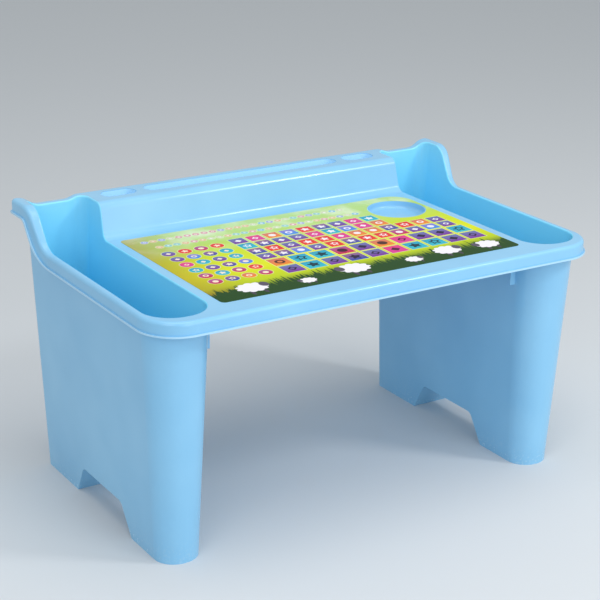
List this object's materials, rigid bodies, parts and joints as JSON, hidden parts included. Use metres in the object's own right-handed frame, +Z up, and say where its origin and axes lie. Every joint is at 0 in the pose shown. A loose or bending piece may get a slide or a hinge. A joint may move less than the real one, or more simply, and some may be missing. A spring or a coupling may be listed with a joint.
{
  "type": "kids desk",
  "caption": "Low moulded plastic desk for a child sitting on the floor, with hollow pocket legs, a raised back ledge with pen trays, a cup recess and a printed chart on the writing surface.",
  "frame": {"origin": "on the floor, under the middle of the desk's bounding box", "axes": "+X to the user's right, +Y away from the user to the raised back ledge, +Z up"},
  "size_m": [0.614, 0.371, 0.346],
  "materials": {
    "desk_body": "satin gloss, injection-moulded polypropylene",
    "chart_sticker": "gloss laminated printed film"
  },
  "bodies": {
    "root": {"desk_body": "desk_body", "chart_sticker": "chart_sticker"}
  },
  "joints": []
}
